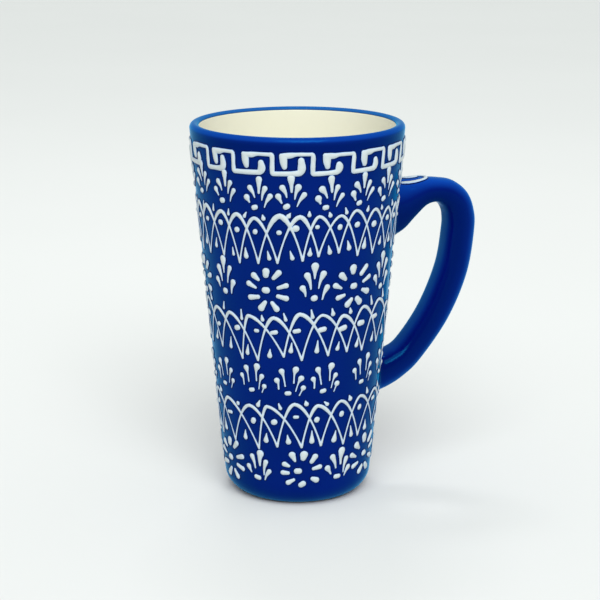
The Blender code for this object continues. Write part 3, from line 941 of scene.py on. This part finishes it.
def cobalt_glaze():
    """Deep cobalt gloss that clouds a little. Over the lip it turns to lighter blues, partly glaze running
    thin and partly a painted highlight.
    """
    made, nodes, links, shader = principled("cobalt_glaze", DEEP_COBALT, 0.1, 1.04)
    shader.inputs["Specular Tint"].default_value = BLUE_SHEEN
    shader.inputs["Sheen Weight"].default_value = 0.85
    shader.inputs["Sheen Roughness"].default_value = 0.35
    shader.inputs["Sheen Tint"].default_value = (0.02, 0.4, 0.72, 1.0)
    where = nodes.new("ShaderNodeNewGeometry").outputs["Position"]
    clouds = add_noise(nodes, links, where, 28.0, 3.0)
    colour = ramp(nodes, links, clouds, ((0.35, CLOUD_COBALT), (0.7, DEEP_COBALT)))
    split = nodes.new("ShaderNodeSeparateXYZ")
    links.new(where, split.inputs["Vector"])
    height = split.outputs["Z"]
    below_lip = between(nodes, links, height, HEIGHT - 2.0 * MM, HEIGHT - 3.4 * MM)
    above_keys = between(nodes, links, height, HEIGHT - 9.0 * MM, HEIGHT - 5.0 * MM)
    colour = mixed(nodes, links, product(nodes, links, below_lip, above_keys), colour, LIP_POOL)
    # Painted highlight: the top of the lip is lighter blue, partly glaze running thin and partly a painted
    # highlight.
    thin_and_lit_lip = between(nodes, links, height, HEIGHT - 2.2 * MM, HEIGHT - 1.0 * MM)
    colour = mixed(nodes, links, thin_and_lit_lip, colour, LIP_COBALT_AND_HIGHLIGHT)
    # Painted highlight along the lip's crest and inner edge, standing for the rim's bright reflection, with
    # some real thinning of the glaze.
    crest = between(nodes, links, height, HEIGHT - 2.2 * MM, HEIGHT - 0.7 * MM)
    reach = from_axis(nodes, links, where)
    inward = between(nodes, links, reach, LIP_RADIUS - 1.1 * MM, LIP_RADIUS - 2.4 * MM)
    colour = mixed(nodes, links, product(nodes, links, crest, inward), colour, THIN_COBALT_AND_HIGHLIGHT)
    # Painted highlight and painted shade on the handle, carried by its two point attributes, partly real thin
    # and thick glaze.
    for layer, end in (("broken_and_highlight", BROKEN_COBALT_AND_HIGHLIGHT), ("pooled_and_shade", POOLED_COBALT_AND_SHADE)):
        share = nodes.new("ShaderNodeAttribute")
        share.attribute_name = layer
        colour = mixed(nodes, links, share.outputs["Fac"], colour, end)
    links.new(colour, shader.inputs["Base Color"])
    bump(nodes, links, shader, add_noise(nodes, links, where, 240.0, 2.0), 0.05, 0.2 * MM)
    return made


def cream_glaze():
    made, nodes, links, shader = principled("cream_glaze", (0.81, 0.80, 0.69), 0.2, 1.4)
    where = nodes.new("ShaderNodeNewGeometry").outputs["Position"]
    clouds = add_noise(nodes, links, where, 40.0, 4.0)
    colour = ramp(nodes, links, clouds, ((0.3, (0.80, 0.775, 0.645)), (0.7, (0.83, 0.805, 0.69))))
    links.new(colour, shader.inputs["Base Color"])
    bump(nodes, links, shader, add_noise(nodes, links, where, 200.0, 2.0), 0.05, 0.2 * MM)
    return made


def white_slip():
    """Off-white slip whose edge the dark glaze climbs. Right at its foot it is darker than the cobalt: partly
    glaze pooled there, partly painted contact shade.
    """
    made, nodes, links, shader = principled("white_slip", (0.56, 0.62, 0.63), 0.3, 1.15)
    where = nodes.new("ShaderNodeNewGeometry").outputs["Position"]
    clouds = add_noise(nodes, links, where, 300.0, 3.0)
    colour = ramp(nodes, links, clouds, ((0.3, (0.515, 0.57, 0.585)), (0.7, (0.575, 0.63, 0.65))))
    white = nodes.new("ShaderNodeAttribute")
    white.attribute_name = "white"
    # Painted contact shade: the outermost edge of each mark is darker than the glaze round it, partly glaze
    # pooled at its foot.
    stops = ((0.08, EDGE_POOL_AND_SHADE), (0.22, MILKY_BLUE), (0.42, PALE_BLUE))
    edge = ramp(nodes, links, white.outputs["Fac"], stops)
    colour = mixed(nodes, links, between(nodes, links, white.outputs["Fac"], 0.35, 0.95), edge, colour)
    links.new(colour, shader.inputs["Base Color"])
    bump(nodes, links, shader, add_noise(nodes, links, where, 700.0, 3.0), 0.12, 0.15 * MM)
    return made


def fired_clay():
    made, nodes, links, shader = principled("fired_clay", (0.72, 0.62, 0.48), 0.85, 1.45)
    where = nodes.new("ShaderNodeNewGeometry").outputs["Position"]
    grain = add_noise(nodes, links, where, 900.0, 6.0)
    colour = ramp(nodes, links, grain, ((0.3, (0.62, 0.52, 0.39)), (0.7, (0.78, 0.68, 0.54))))
    links.new(colour, shader.inputs["Base Color"])
    bump(nodes, links, shader, grain, 0.3, 0.1 * MM)
    return made


# ---------------------------------------------------------------- putting it together


# The curl on the handle: x, y and half width in mm, round its loop and then on to its inner end.
CURL_LOOP = (
    (43.6, -4.0, 0.6),
    (46.8, -4.4, 0.6),
    (50.2, -4.2, 0.62),
    (53.6, -3.1, 0.65),
    (55.2, -0.8, 0.68),
    (54.5, 1.9, 0.68),
    (51.6, 3.5, 0.62),
    (48.2, 3.6, 0.55),
)
CURL_END = (
    (48.2, 3.6, 0.55),
    (45.9, 2.4, 0.6),
    (46.1, 0.4, 0.65),
    (48.7, -0.5, 0.75),
    (51.0, 0.3, 0.9),
)

def ride(piece, slot, *nodes):
    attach(piece, "root")
    if nodes:
        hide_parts(*nodes)
    return piece


def handle_curl(coat, material):
    """The curl on top of the handle, laid on its rounded upper face. Places are x and y in mm."""
    tree = BVHTree.FromPolygons(
        [vertex.co for vertex in coat.data.vertices],
        [face.vertices for face in coat.data.polygons],
    )

    def on_handle(x, y, lift):
        points = np.empty((len(x), 3))
        for index, (along, aside) in enumerate(zip(x, y)):
            above = Vector((along * MM, aside, HEIGHT))
            spot, normal, _, _ = tree.ray_cast(above, Vector((0.0, 0.0, -1.0)))
            points[index] = spot + normal * lift[index]
        return points

    band = SlipBand(MM, 40.0, 22.0, -6.5, 6.5, on_handle, False, 40)
    band.trail(*zip(*[((x, y), half) for x, y, half in CURL_LOOP]))
    band.trail(*zip(*[((x, y), half) for x, y, half in CURL_END]))
    return band.piece("slip_curl", material)


def build_slip(handle, slip):
    """The bands from the lip down to the base, then the curl on the handle."""
    key_nodes = [f"slip_key_{index + 1:02d}" for index in range(KEY_COUNT)]
    ride(key_band(slip), "white_slip", *key_nodes)
    upper = fan_band(
        "slip_fans_upper", 122.0, 140.0, 11, TOP_FANS, 17, TOP_FAN, TOP_FAN_WEIGHT, FULL_NECK, slip
    )
    ride(upper, "white_slip")
    for part, low, high, seed, arches, count in (
        ("upper", 100.0, 127.0, 21, UPPER_ARCHES, UPPER_COUNT),
        ("middle", 60.0, 90.0, 22, MIDDLE_ARCHES, MIDDLE_COUNT),
        ("lower", 22.0, 50.0, 23, LOWER_ARCHES, LOWER_COUNT),
    ):
        made = arcade("slip_arches_" + part, low, high, seed, arches, count, slip)
        ride(made, "white_slip", "slip_arcade_" + part)
    middle = flower_band(
        "slip_flowers_middle", 82.0, 105.0, 31, MIDDLE_FLOWERS, MIDDLE_FANS, MIDDLE_FAN, slip
    )
    ride(middle, "white_slip")
    tailed = fan_band(
        "slip_fans_tailed", 46.0, 64.0, 12, TAILED_FANS, 13, TAILED_FAN, TAILED_FAN_WEIGHT, LONG_NECK, slip
    )
    ride(tailed, "white_slip")
    lower = flower_band("slip_flowers_lower", 7.0, 28.0, 32, LOW_FLOWERS, LOW_FANS, LOW_FAN, slip)
    ride(lower, "white_slip")
    ride(handle_curl(handle, slip), "white_slip", "slip_handle_curl")


def build_mug():
    cobalt = cobalt_glaze()
    clay = fired_clay()
    for node in ("clay_cup", "clay_handle"):
        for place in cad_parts[node].material_slots:
            place.material = clay
    ride(cup_coat(cobalt), "cobalt_glaze", "glaze_coat_cup")
    ride(lining(cream_glaze()), "cream_glaze", "glaze_lining")
    handle = handle_coat(cobalt)
    ride(handle, "cobalt_glaze", "glaze_coat_handle", "joint_slip_upper", "joint_slip_lower")
    build_slip(handle, white_slip())


def build_camera():
    """At the side angle and height that the mug is seen from, with the mug's axis left of centre."""
    data = bpy.data.cameras.new("camera")
    camera = bpy.data.objects.new("camera", data)
    bpy.context.scene.collection.objects.link(camera)
    away, height, azimuth = 0.6917, 0.2585, math.radians(-18.0)
    camera.location = (away * math.sin(azimuth), -away * math.cos(azimuth), height)
    camera.rotation_euler = (math.radians(90.0 - 14.55), 0.0, azimuth - math.radians(0.09))
    data.lens = 105.0
    data.sensor_width = 36.0
    data.clip_start = 0.01
    bpy.context.scene.camera = camera


def area_light(name, place, aim, size, power, colour=(1.0, 1.0, 1.0)):
    data = bpy.data.lights.new(name, "AREA")
    data.shape = "RECTANGLE"
    data.size, data.size_y = size
    data.energy = power
    data.color = colour
    made = bpy.data.objects.new(name, data)
    made.location = place
    made.rotation_euler = (Vector(aim) - Vector(place)).to_track_quat("-Z", "Y").to_euler()
    bpy.context.scene.collection.objects.link(made)


def build_studio():
    scene = bpy.context.scene
    scene.view_settings.view_transform = "Standard"
    world = bpy.data.worlds.new("studio")
    scene.world = world
    world.use_nodes = True
    background = world.node_tree.nodes["Background"]
    background.inputs["Color"].default_value = (0.965, 1.0, 0.985, 1.0)
    background.inputs["Strength"].default_value = 0.58
    sun = bpy.data.lights.new("window", "SUN")
    sun.energy = 1.8
    sun.color = (0.94, 1.0, 0.96)
    sun.angle = math.radians(50.0)
    window = bpy.data.objects.new("window", sun)
    window.rotation_euler = Vector((0.16, 0.64, -0.76)).to_track_quat("-Z", "Y").to_euler()
    scene.collection.objects.link(window)
    area_light("front", (-0.3, -2.5, 1.9), (0.0, 0.0, 0.07), (1.6, 1.0), 24.0)
    area_light("top", (0.1, 0.5, 1.0), (0.0, 0.0, 0.07), (0.3, 0.14), 1.4)
    floor_material, nodes, links, shader = principled("pale_floor", (0.765, 0.765, 0.765), 0.8, 1.2)
    where = nodes.new("ShaderNodeNewGeometry").outputs["Position"]
    tone = add_noise(nodes, links, where, 4.0, 2.0)
    colour = ramp(nodes, links, tone, ((0.3, (0.76, 0.76, 0.76)), (0.7, (0.77, 0.77, 0.77))))
    links.new(colour, shader.inputs["Base Color"])
    half = 4.0
    corners = [(-half, -half, 0.0), (half, -half, 0.0), (half, half, 0.0), (-half, half, 0.0)]
    floor = new_mesh("floor", corners, [(0, 1, 2, 3)], floor_material)


def main():
    build_camera()
    build_mug()
    build_studio()
    bpy.context.view_layer.update()


main()
